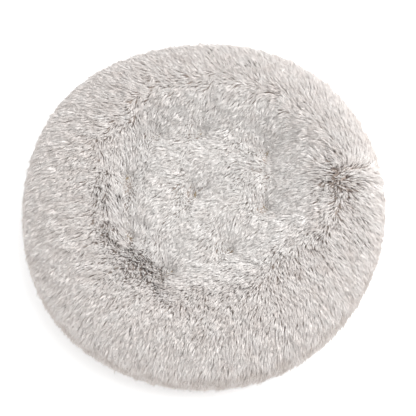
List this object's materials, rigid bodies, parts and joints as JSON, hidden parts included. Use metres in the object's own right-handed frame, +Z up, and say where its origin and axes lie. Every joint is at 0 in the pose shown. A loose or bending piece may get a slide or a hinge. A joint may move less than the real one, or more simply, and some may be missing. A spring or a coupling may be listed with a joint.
{
  "type": "pet cushion bed",
  "caption": "Round long-pile plush pet bed: a stuffed rim around a soft sleeping pad, tied through to a flat non-slip base by hand tufts.",
  "frame": {"origin": "on the floor, under the middle of the bed's outline", "axes": "+Z up, out of the sleeping pad; -Y towards the viewer of the bed's front"},
  "size_m": [0.5966, 0.6018, 0.134],
  "materials": {
    "plush": "long-pile faux fur, pale tips over dark brown roots",
    "base_cloth": "woven cloth with raised non-slip dots",
    "fibre": "loose polyester stuffing fibre",
    "twine": "twisted tufting twine, matt",
    "seam_cotton": "sewing thread, matt",
    "label_tape": "plain woven tape, blank"
  },
  "bodies": {
    "root": {"plush_cover": "plush", "base_panel": "base_cloth", "rim_filling": "fibre", "centre_filling": "fibre", "tuft_tie_1": "twine", "tuft_tie_2": "twine", "tuft_tie_3": "twine", "tuft_tie_4": "twine", "tuft_tie_5": "twine", "tuft_tie_6": "twine", "tuft_tie_7": "twine", "tuft_tie_8": "twine", "tuft_tie_centre": "twine", "seam_thread": "seam_cotton", "closing_thread": "seam_cotton", "care_label": "label_tape"}
  },
  "joints": []
}
